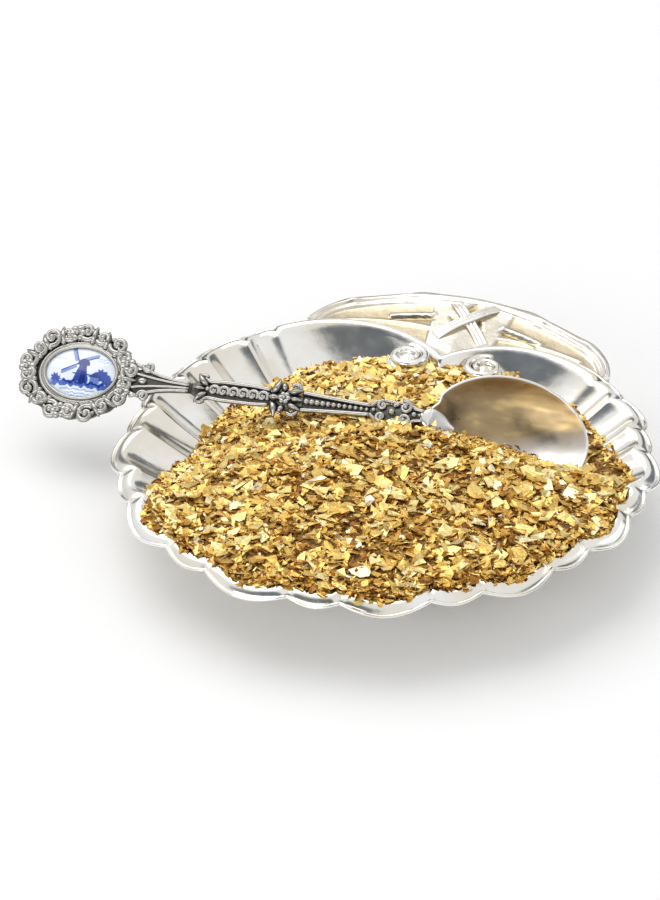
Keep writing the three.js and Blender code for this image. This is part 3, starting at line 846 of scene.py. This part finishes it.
def lay_spoonful(shape, rng):
    """Flakes on top of those in the spoon, kept clear of its bowl."""
    low, high = (Vector(corner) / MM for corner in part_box("spoonful"))
    bowl = cad_tree("spoon_bowl")
    placed = tries = 0
    while placed < SPOON_FLAKES and tries < 20000:
        tries += 1
        x, y = rng.uniform(low.x - 1, high.x + 1), rng.uniform(low.y - 1, high.y + 1.5)
        bed = height_hit(bowl, x, y, ABOVE, -1)
        if bed is None:
            continue
        surface = spoonful_height(x, y)
        if surface < bed - 0.5 or bed > surface + 0.6:
            continue
        size, tilt = min(2.2, 0.6 + rng.expovariate(1 / 0.5)), abs(rng.gauss(0, 0.4))
        z = max(surface + rng.uniform(-0.3, 0.6), bed + 0.3 + size * sin(tilt))
        size = min(size, clear_of(bowl, Vector((x, y, z))))
        if size < 0.45:
            continue
        add_flake(shape, rng, Vector((x, y, z)), size, tilt, pick_shade(rng))
        placed += 1


def make_flakes():
    """Many thousands of flakes over the CAD heap and spoonful, in pieces small enough to handle."""
    rng = random.Random(SEED)
    spoon = cad_tree("spoon_bowl", "heel_scroll", "stem_beaded", "stem_knop", "stem_scroll")
    names = ("flakes_a", "flakes_b", "flakes_c", "flakes_d")
    pieces = [Shape() for _ in names]
    lay_heap(pieces, rng, spoon)
    lay_edge(pieces, rng, spoon)
    for shape, name in zip(pieces, names):
        shape.make(name, GOLD, "dish", "gold_flakes", smooth=False)
    in_spoon, in_pocket = Shape(), Shape()
    lay_spoonful(in_spoon, rng)
    lay_flakes(in_spoon, rng, "spoonful", SIDE_TRIES, lambda point: True)
    lay_flakes(in_pocket, rng, "flake_heap", POCKET_TRIES,
               lambda point: clear_of(spoon, point / MM) < POCKET_GAP)
    in_pocket.make("flakes_in_pocket", GOLD, "dish", "gold_flakes", smooth=False)
    in_spoon.make("flakes_in_spoon", GOLD, "spoon", "gold_flakes", smooth=False)


# ---- the spoon

def plain_silver_share(x, y):
    """How much plain silver shows instead of the painted reflection of the flakes: least on the side that
    faces down, most at the far low corner.
    """
    return min(1.0, max(0.0, 0.34 - 0.06 * y + 0.018 * (x - BOWL_LENGTH / 2)))


def make_spoon_bowl():
    """The plain oval bowl: smooth inside and out, a rounded rim, and two nicks beside the neck."""
    shape = Shape()
    count = 128
    half_length, half_width = BOWL_LENGTH / 2, BOWL_WIDTH / 2

    def ring(reach_x, reach_y, spread, height):
        row = []
        for turn in turns(count):
            nick = 1 - 0.045 * sum(hump(turn, pi + s * 0.33, 0.1) for s in (-1, 1)) * spread ** 6
            row.append((half_length + reach_x * spread * nick * cos(turn),
                        reach_y * spread * nick * sin(turn), height))
        return row

    inner_x, inner_y = half_length - BOWL_SHEET * 0.8, half_width - BOWL_SHEET * 0.8
    rings, tones = [[(half_length, 0, -BOWL_DEPTH)]], [plain_silver_share(half_length, 0)]
    for k in range(1, 25):
        spread = k / 24
        rings.append(ring(inner_x, inner_y, spread, -BOWL_DEPTH * (1 - spread ** 2.5)))
        tones.extend(plain_silver_share(x, y) for x, y, _ in rings[-1])
    for share, height in ((0.25, 0.14), (0.5, 0.18), (0.8, 0.1), (1.0, -0.1)):
        rings.append(ring(inner_x + 0.72 * share, inner_y + 0.72 * share, 1.0, height))
        tones.extend([1.0] * count)
    for k in range(1, 24):
        spread = 1 - k / 24
        depth = (BOWL_DEPTH + BOWL_SHEET) * (1 - spread ** 2.4) + 0.1
        rings.append(ring(half_length, half_width, spread, -depth))
        tones.extend([1.0] * count)
    rings.append([(half_length, 0, -BOWL_DEPTH - BOWL_SHEET - 0.1)])
    shape.loft(rings, tones + [1.0])
    shape.make("bowl_of_spoon", BOWL_SILVER, "spoon", "spoon_silver", "spoon_bowl", matrix=BOWL)


def make_neck_tab():
    """The drop-shaped tab that spreads from the neck onto the bowl."""
    shape = Shape()
    sections = []
    sides = 12
    for i in range(21):
        along = i / 20
        x = -1.6 + 9.0 * along
        half = 1.5 + 2.3 * sin(pi * min(1, along * 1.15)) ** 1.4 * (1 - along * 0.3)
        if along > 0.75:
            half *= max(0.08, (1 - along) / 0.25) ** 0.5
        reach = (x - BOWL_LENGTH / 2) / (BOWL_LENGTH / 2 - 0.7)
        bed = -BOWL_DEPTH * (1 - min(1, abs(reach)) ** 2.5) if x > 0.7 else 0.0
        crown = 0.65 * (1 - along) + 0.12
        sections.append([(x, y, z) for y, z, _ in oval_ring((0, bed + 0.1), half, crown, 0, sides)])
    shape.bar(sections, [0.9] * sides * len(sections))
    shape.make("neck_tab", BOWL_SILVER, "spoon", "spoon_silver", matrix=BOWL)


def lay_core(shape, stations, tone_value=0.3, flat=0.8):
    """The dark ground of a stretch of stem, black patina and painted shade between the ornaments: [x, half
    width, half thickness] stations joined smoothly.
    """
    xs, widths, thicknesses = zip(*stations)
    fine = np.linspace(xs[0] - CORE_OVERLAP, xs[-1] + CORE_OVERLAP, 6 * len(xs))
    sections, tones = [], []
    for x, w, h in zip(fine, np.interp(fine, xs, widths), np.interp(fine, xs, thicknesses)):
        ring = []
        for turn in turns(14):
            up = sin(turn)
            ring.append((x, w * cos(turn), h * up * (flat if up > 0 else 1)))
            # The dark top is patina and painted shade between the ornaments.
            tones.append(tone_value if up > 0.35 else 0.7)
        sections.append(ring)
    shape.bar(sections, tones)


def lay_rail(shape, points, radius, height):
    """A raised cord through (x, y) points, on both sides of the stem."""
    xs, ys = zip(*points)
    share = np.linspace(0, 1, 5 * len(points))
    known = np.linspace(0, 1, len(points))
    x, y = np.interp(share, known, xs), np.interp(share, known, ys)
    for side in (1, -1):
        shape.tube(np.stack([x, side * y, np.full_like(x, height)], axis=1), radius, low=0.4)


def finish_casting(shape, name, replaced):
    shape.make(name, OLD_SILVER, "spoon", "old_silver", replaced, matrix=SPOON)


def make_heel():
    """Openwork-looking scrolls and pearls where the stem meets the bowl."""
    shape = Shape()
    lay_core(shape, [(-14.1, 1.2, 0.9), (-12, 2.1, 1.0), (-8.5, 2.6, 1.1), (-5, 2.4, 1.1), (-2.6, 1.5, 0.9),
                     (-0.2, 1.6, 0.7)])
    lay_rail(shape, [(-14, 1.0), (-12.6, 2.4), (-10.6, 2.9), (-8.6, 2.7), (-7.2, 1.9)], 0.5, 1.0)
    lay_rail(shape, [(-8.4, 1.6), (-6.8, 2.8), (-4.6, 2.7), (-2.8, 1.5), (-0.8, 1.3)], 0.5, 1.0)
    for side in (1, -1):
        shape.scroll((-11.2, side * 1.5, 1.2), side * 1.3, 1.2, 1.25, 0.35, 0.5, 0.32, hand=side)
        shape.scroll((-5.4, side * 1.6, 1.3), side * 2.1, 1.2, 1.75, 0.4, 0.6, 0.36, hand=-side)
    for x, r in ((-13.2, 0.6), (-8.6, 0.95), (-3.0, 0.75), (-1.6, 0.5)):
        shape.bead((x, 0, 1.3), r)
    finish_casting(shape, "heel_ornament", "heel_scroll")


def make_beaded_stem():
    """A tapering channel between two rails, filled with a row of pearls."""
    shape = Shape()
    lay_core(shape, [(-31.5, 2.1, 1.0), (-28, 1.9, 1.0), (-20, 1.4, 1.0), (-14.4, 1.15, 1.0)], flat=0.45)
    lay_rail(shape, [(-31.8, 2.3), (-28, 2.0), (-20, 1.5), (-14.0, 1.2)], 0.58, 0.75)
    pearls = 12
    for i in range(pearls):
        share = i / (pearls - 1)
        shape.bead((-30.4 + 15.4 * share, 0, 0.8), 0.95 - 0.37 * share, low=0.1)
    finish_casting(shape, "pearl_stem", "stem_beaded")


def make_knop():
    """A swelling of leaves about a rosette."""
    shape = Shape()
    lay_core(shape, [(-39.6, 1.7, 0.9), (-38.2, 2.5, 1.2), (-36.2, 2.9, 1.4), (-34.2, 2.6, 1.4),
                     (-32.6, 2.0, 1.1), (-31.8, 1.7, 1.0)], tone_value=0.42)
    for side in (1, -1):
        shape.leaf((-39.4, side * 1.2, 0.9), side * 0.7, 4.2, 2.2, curl=side * 0.5, thick=0.9)
        shape.leaf((-36.0, side * 1.8, 1.1), side * 1.9, 2.6, 1.9, thick=0.8)
        shape.leaf((-35.0, side * 1.4, 1.1), side * 0.35, 3.8, 1.9, thick=0.9)
        shape.scroll((-33.4, side * 2.7, 1.0), side * 2.6, 1.15, 1.5, 0.4, 0.58, 0.36, hand=-side)
    shape.leaf((-40.2, 0, 1.0), 0.0, 3.6, 2.0, thick=0.9)
    shape.leaf((-34.6, 0, 1.0), 0.0, 3.2, 1.8, thick=0.9)
    shape.flower((-35.9, 0, 1.8), 1.7, petals=6)
    finish_casting(shape, "leaf_knop", "stem_knop")


def make_scroll_stem():
    """A row of C-scrolls between rails, ending in a pair of leaf tips."""
    shape = Shape()
    lay_core(shape, [(-60.4, 1.4, 0.9), (-58, 2.7, 1.0), (-56.3, 2.5, 1.0), (-55, 1.9, 1.0), (-52, 2.2, 1.0),
                     (-44, 2.2, 1.0), (-39.9, 1.9, 1.0)], flat=0.5)
    lay_rail(shape, [(-57.4, 2.9), (-55.6, 2.1), (-52, 2.4), (-44, 2.35), (-40.0, 2.0)], 0.55, 0.75)
    for i in range(6):
        x = -54.4 + 2.55 * i
        shape.scroll((x, -0.1, 1.0), -0.6, 1.2, 1.45, 0.38, 0.55, 0.32, hand=1)
        shape.bead((x + 1.35, 0.85, 0.9), 0.35)
    for side in (1, -1):
        shape.leaf((-56.0, side * 0.9, 0.8), pi - side * 0.5, 4.2, 1.9, curl=-side * 0.3, thick=0.9)
        shape.scroll((-57.6, side * 2.6, 0.9), side * 0.4, 1.1, 1.2, 0.35, 0.5, 0.3, hand=side)
    shape.leaf((-56.6, 0, 0.9), pi, 3.4, 1.3, thick=0.7)
    shape.bead((-55.9, 0, 1.2), 0.7)
    finish_casting(shape, "scroll_stem_ornament", "stem_scroll")


def make_shoulder():
    """A fluted neck that spreads into a pair of volutes under the finial."""
    shape = Shape()
    lay_core(shape, [(-76.5, 2.6, 0.8), (-73.9, 3.6, 0.9), (-72.6, 4.0, 1.0), (-71.2, 3.4, 1.0),
                     (-69.5, 2.5, 1.0), (-66, 1.9, 1.0), (-60.7, 1.4, 0.9)], tone_value=0.2)
    lay_rail(shape, [(-75.8, 4.3), (-73.4, 3.5), (-71.4, 2.7), (-69, 2.0), (-65.5, 1.4), (-60.9, 1.05)],
             0.45, 0.75)
    lay_rail(shape, [(-76.0, 2.0), (-73.6, 1.5), (-70, 1.0), (-66, 0.6), (-60.9, 0.4)], 0.35, 0.95)
    for side in (1, -1):
        shape.scroll((-72.3, side * 3.9, 0.8), side * 2.9, 1.4, 1.5, 0.35, 0.55, 0.3, hand=side)
    shape.bead((-73.2, 0, 1.0), 0.9, stretch=(1.5, 1, 0.8))
    finish_casting(shape, "fluted_shoulder", "stem_shoulder")


def on_oval(turn, half_length, half_width):
    return FINIAL_X + FRAME_SHIFT + half_length * cos(turn), half_width * sin(turn)


def closed(ring):
    return [*ring, ring[0]]


def lay_frame_ground(shape):
    """The dark wavy plate under the frame's ornament, open where the stone sits; its dark top is patina and
    painted shade among the ornaments.
    """
    count = 96
    inner_length, inner_width = STONE_LENGTH / 2 + 0.9, STONE_WIDTH / 2 + 0.9
    ground, tones = [], []
    for spread, height in ((0.0, 0), (0.0, 1), (1.0, 1), (1.0, 0)):
        ring = []
        for turn in turns(count):
            wave = spread * (1 + 0.045 * cos(16 * turn))
            a = inner_length + (FRAME_LENGTH / 2 - 2.2 - inner_length) * wave
            b = inner_width + (FRAME_WIDTH / 2 - 2.0 - inner_width) * wave
            x = FINIAL_X + FRAME_SHIFT * spread + a * cos(turn)
            ring.append((x, b * sin(turn), -1.0 + 1.3 * height))
            # The dark top is patina and painted shade.
            tones.append(0.02 if height and spread < 1 else 0.7 - 0.5 * height)
        ground.append(ring)
    shape.loft(closed(ground), tones + tones[:count])


def make_finial():
    """The rococo frame: a dark ground under scrolls, leaves, shells and small flowers."""
    rng = random.Random(SEED + 1)
    shape = Shape()
    lay_frame_ground(shape)
    for a, b, r, z in ((10.7, 8.1, 0.55, 0.7), (12.2, 9.5, 0.38, 0.45)):
        ring = oval_ring((FINIAL_X + FRAME_SHIFT * (a - 10) / 6, 0), a, b, z, 96)
        shape.tube(closed(ring), r, low=0.1)
    for k in range(44):
        x, y = on_oval(TAU * k / 44, 11.9, 8.9)
        shape.bead((x + 0.6, y, 0.7), 0.42, sides=7)
    units = 18
    for k in range(units):
        turn = TAU * (k + 0.5) / units
        big = k % 2 == 0
        x, y = on_oval(turn, 13.9 if big else 13.2, 11.3 if big else 10.6)
        out = atan2(y * 1.2, x - FINIAL_X)
        hand = 1 if (k // 2) % 2 else -1
        spread = 2.45 if big else 1.85
        shape.scroll((x, y, 0.8), out + hand * 2.2, 1.3, spread, 0.5, 0.85, 0.5, hand, 0.4, steps=26)
        shape.leaf((x, y, 0.3), out + hand * 1.1, spread * 1.45, 1.9, lift=0.4, curl=hand * 0.9, thick=1.0)
        shape.leaf((x, y, 0.3), out - hand * 1.9, spread * 1.5, 1.6, curl=-hand * 0.6, thick=1.1)
    for k in range(units):
        x, y = on_oval(TAU * k / units, 12.6, 9.9)
        out = atan2(y, x - FINIAL_X)
        dx, dy = cos(out), sin(out)
        if k % 4 == 1:
            shape.flower((x + 0.8 * dx, y + 0.8 * dy, 1.2), 2.3, petals=6, turn=rng.uniform(0, 1))
        else:
            shape.leaf((x - 1.6 * dx, y - 1.6 * dy, 0.5), out + rng.uniform(-0.3, 0.3), 4.8, 2.1,
                       lift=0.7, curl=rng.uniform(-0.5, 0.5), thick=1.2)
            shape.bead((x - 1.2 * dx, y - 1.2 * dy, 1.1), 0.8)
    finish_casting(shape, "rococo_frame", "finial_frame")


def make_bezel():
    """The plain rolled band that holds the porcelain, with a fine rope outside it."""
    shape = Shape()
    for gap, radius, height in ((0.25, 0.42, 1.55), (0.75, 0.5, 0.85)):
        ring = oval_ring(MIDDLE, STONE_LENGTH / 2 + gap, STONE_WIDTH / 2 + gap, height, 96)
        shape.tube(closed(ring), radius, sides=10)
    finish_casting(shape, "stone_bezel", "medallion_bezel")


def make_back():
    """The domed plate that closes the frame from behind."""
    shape = Shape()
    length, width = STONE_LENGTH / 2 + 0.9, STONE_WIDTH / 2 + 0.9
    rings = [oval_ring(MIDDLE, length * spread, width * spread, height, 64) for spread, height in
             ((0.96, -0.2), (1.0, -0.4), (0.99, -0.8), (0.8, -1.15), (0.45, -1.3))]
    rings = [[(FINIAL_X, 0, -0.2)], *rings, [(FINIAL_X, 0, -1.35)]]
    shape.loft(rings, [0.9] * sum(len(ring) for ring in rings))
    finish_casting(shape, "finial_back", "medallion_back")


# ---- the painted porcelain

def inked(depth, soft):
    """1 inside a painted edge and 0 outside it, fading over soft."""
    return np.clip(depth / soft + 0.5, 0, 1)


def band(value, low, high, soft=0.12):
    return np.minimum(inked(value - low, soft), inked(high - value, soft))


def stroke(x, y, start, end, width):
    """1 along a straight brush stroke."""
    ax, ay = start
    dx, dy = end[0] - ax, end[1] - ay
    share = np.clip(((x - ax) * dx + (y - ay) * dy) / (dx * dx + dy * dy), 0, 1)
    return inked(width - np.hypot(x - ax - share * dx, y - ay - share * dy), 0.1)


def paint_mill(lay, x, y):
    """The tower with its shaded side, cap, gallery and four lattice sails."""
    half = 0.75 + 0.26 * (1.3 - y)
    height = band(y, -2.3, 1.5)
    lay(height * inked(half - np.abs(x - 0.6), 0.12), 0.8)
    lay(height * inked(half * 0.5 - np.abs(x - 1.0), 0.3), 1.0)
    lay(inked(1.15 - np.hypot((x - 0.6) / 1.15, (y - 1.5) / 1.2), 0.12) * (y > 1.3), 0.95)
    lay(band(y, -0.75, -0.5) * band(x, -1.3, 2.5), 0.95)
    hub = np.array([-0.3, 1.7])
    for k in range(4):
        turn = radians(28 + 90 * k)
        out = np.array([cos(turn), sin(turn)])
        side = np.array([-out[1], out[0]]) * 0.42
        lay(stroke(x, y, hub, hub + 4.0 * out, 0.13), 0.95)
        lay(stroke(x, y, hub + out + side, hub + 4.0 * out + side, 0.36), 0.5)


def painting(x, y):
    """How much cobalt lies at (x, y) mm from the middle: a plain windmill by the water, with trees."""
    x, y = x / PAINTING_SCALE, y / PAINTING_SCALE
    paint = np.zeros_like(x)

    def lay(amount, depth):
        nonlocal paint
        paint = np.maximum(paint, amount * depth)

    ripple = 0.18 * np.sin(3.1 * x + 1.3 * np.sin(2.3 * y)) + 0.12 * np.sin(5.3 * x + 2.1)
    paint_mill(lay, x, y)
    lay(band(y + ripple, -3.3, -2.1) * band(x, -6.2, 7.2, 1.5), 0.62)
    lay(band(y + ripple, -2.7, -2.2) * band(x, -3.5, 6.0, 1.0), 0.95)
    lay(band(x, 2.6, 4.6) * band(y, -2.3, -0.9), 0.55)
    lay(inked(1.5 - np.abs(x - 3.6) - (y + 1.0) * 1.2, 0.15) * (y > -1.0), 0.9)
    for cx, cy, r in ((5.3, -0.6, 1.15), (6.2, -1.4, 1.0), (4.6, 0.1, 0.8), (-5.2, -1.7, 0.8),
                      (-4.4, -2.0, 0.6)):
        edge = r + 0.2 * np.sin(7 * np.arctan2(y - cy, x - cx) + cx)
        lay(inked(edge - np.hypot(x - cx, y - cy), 0.25), 0.78)
    for cy, left, right in ((-3.9, -3.6, 3.8), (-4.6, -2.2, 2.9), (-5.2, -1.2, 1.6)):
        lay(stroke(x, y + ripple * 0.5, (left, cy), (right, cy), 0.12), 0.45)
    for cy, left, right in ((2.6, -6.5, -3.6), (3.3, 2.6, 5.6), (2.7, 3.4, 6.4)):
        lay(stroke(x, y + ripple * 0.6, (left, cy), (right, cy), 0.14), 0.22)
    return np.clip(paint + 0.06 * np.sin(9 * x + 4 * np.sin(7 * y)) * (paint > 0.2), 0, 1)


def make_porcelain():
    """The domed stone, with points fine enough to carry the painting as their tone."""
    shape = Shape()
    around, rows = 220, 76
    half_length, half_width = STONE_LENGTH / 2, STONE_WIDTH / 2
    rings = [[(FINIAL_X, 0, STONE_EDGE + STONE_DOME)]]
    for k in range(1, rows + 1):
        spread = k / rows
        height = STONE_EDGE + STONE_DOME * (1 - spread ** 2)
        rings.append(oval_ring(MIDDLE, half_length * spread, half_width * spread, height, around))
    x, y, _ = np.array([point for ring in rings for point in ring]).T
    tones = painting(x - FINIAL_X, y).tolist()
    rings.append(oval_ring(MIDDLE, half_length, half_width, 0.1, around))
    rings.append([(FINIAL_X, 0, 0.1)])
    shape.loft(rings, tones + [0.0] * (around + 1))
    shape.make("painted_stone", porcelain_material(), "spoon", "porcelain", "porcelain_medallion",
               matrix=SPOON)


# ---- the studio

AZIMUTH, ELEVATION, DISTANCE = radians(16.5), radians(34), 0.7
LENS = 114.8
TARGET = Vector((-14.3, -1.5, 17)) * MM
ROOM_GREY = (0.17, 0.19, 0.22)


def set_up(name, data, place, heading):
    """Puts a camera or light in the scene, pointed along its heading."""
    thing = add_object(name, data)
    thing.location = place
    thing.rotation_mode = "QUATERNION"
    thing.rotation_quaternion = heading.to_track_quat("-Z", "Y")
    return thing


def make_camera():
    back = Vector((sin(AZIMUTH) * cos(ELEVATION), -cos(AZIMUTH) * cos(ELEVATION),
                   sin(ELEVATION)))
    data = bpy.data.cameras.new("camera")
    data.lens = LENS
    data.sensor_width = 36
    bpy.context.scene.camera = set_up("camera", data, TARGET + back * DISTANCE, -back)


def make_light(name, place, size, power, colour):
    data = bpy.data.lights.new(name, "AREA")
    data.shape = "RECTANGLE"
    data.size, data.size_y = size
    data.energy = power
    data.color = colour
    set_up(name, data, place, -Vector(place))


def make_world():
    """A white tent with a darker room seen through its open front and between its sides."""
    world = bpy.data.worlds.new("studio")
    bpy.context.scene.world = world
    world.use_nodes = True
    look = Look(world.node_tree, world.node_tree.nodes["Background"])
    place = look.node("TexCoord")

    def toward(direction, low, high):
        dot = look.node("VectorMath", operation="DOT_PRODUCT")
        dot.inputs[1].default_value = Vector(direction).normalized()
        look.tree.links.new(place.outputs["Generated"], dot.inputs[0])
        share = look.node("MapRange", interpolation_type="SMOOTHSTEP")
        share.inputs["From Min"].default_value = low
        share.inputs["From Max"].default_value = high
        look.tree.links.new(dot.outputs["Value"], share.inputs["Value"])
        return share.outputs["Result"]

    colour = look.mix(toward((0, 0, 1), 0.05, 0.5), (0.82, 0.83, 0.85), (1.0, 1.0, 1.0))
    colour = look.mix(toward((-0.22, -0.72, 0.60), 0.87, 0.93), colour, ROOM_GREY)
    for direction in ((0.75, 0.5, 0.3), (0.35, 0.92, 0.14), (-0.55, 0.8, 0.12), (0.98, -0.1, 0.25)):
        colour = look.mix(toward(direction, 0.95, 0.97), colour, ROOM_GREY)
    look.feed(colour, "Color")
    look.shader.inputs["Strength"].default_value = 0.88


def make_floor():
    half, height = 3.0, -0.05 * MM
    corners = [(-half, -half, height), (half, -half, height), (half, half, height), (-half, half, height)]
    mesh = bpy.data.meshes.new("floor")
    mesh.from_pydata(corners, [], [(0, 1, 2, 3)])
    mesh.materials.append(floor_material())
    add_object("floor", mesh)


def dress_cad_nodes():
    """The CAD solids that stay, under the flakes, take the shaded material."""
    for name in ("flake_heap", "spoonful"):
        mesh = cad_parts[name].data
        mesh.materials.clear()
        mesh.materials.append(BED)


make_camera()
make_world()
make_light("key", (-0.5, 0.3, 1.1), (1.1, 1.1), 6.0, (1.0, 0.99, 0.97))
make_light("fill", (0.9, 0.5, 0.5), (0.5, 0.5), 0.8, (0.95, 0.98, 1.0))
make_light("front", (-0.35, -1.0, 0.45), (0.8, 0.5), 3.2, (1.0, 0.99, 0.97))
make_floor()
dress_cad_nodes()
make_shell()
make_rim_bead()
make_volute(-1, "snail_left", "volute_left")
make_volute(1, "snail_right", "volute_right")
make_handle()
make_ribbon(-1, "ribbon_under", "handle_ribbon_left")
make_ribbon(1, "ribbon_over", "handle_ribbon_right")
make_flakes()
make_spoon_bowl()
make_neck_tab()
make_heel()
make_beaded_stem()
make_knop()
make_scroll_stem()
make_shoulder()
make_finial()
make_bezel()
make_back()
make_porcelain()
bpy.context.scene.view_settings.view_transform = "Standard"
